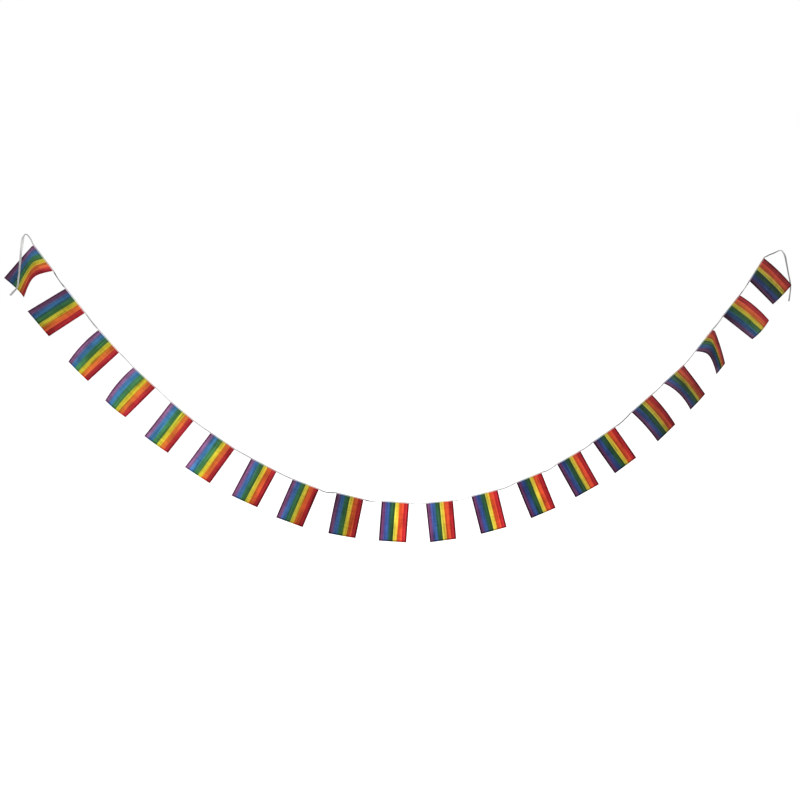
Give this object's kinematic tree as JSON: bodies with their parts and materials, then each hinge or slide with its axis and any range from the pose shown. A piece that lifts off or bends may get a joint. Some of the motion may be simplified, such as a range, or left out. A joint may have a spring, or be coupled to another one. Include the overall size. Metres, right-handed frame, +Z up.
{
  "type": "flag garland",
  "caption": "Hanging garland of rainbow-striped rectangular cloth flags, their top edges sewn into a folded white tape whose free ends hang down as ties.",
  "frame": {"origin": "the top of the bend of the tape at its left hanging point", "axes": "+X along the span to the right hanging point, +Z up, -Y towards the viewer"},
  "size_m": [4.2948, 0.0968, 1.6714],
  "materials": {
    "tape": "white woven ribbon, matt",
    "flag_cloth": "thin printed polyester in six stripes, slight sheen"
  },
  "bodies": {
    "root": {"tape": "tape", "flag_01": "flag_cloth", "flag_02": "flag_cloth", "flag_03": "flag_cloth", "flag_04": "flag_cloth", "flag_05": "flag_cloth", "flag_06": "flag_cloth", "flag_07": "flag_cloth", "flag_08": "flag_cloth", "flag_09": "flag_cloth", "flag_10": "flag_cloth", "flag_11": "flag_cloth", "flag_12": "flag_cloth", "flag_13": "flag_cloth", "flag_14": "flag_cloth", "flag_15": "flag_cloth", "flag_16": "flag_cloth", "flag_17": "flag_cloth", "flag_18": "flag_cloth", "flag_19": "flag_cloth", "flag_20": "flag_cloth"}
  },
  "joints": []
}
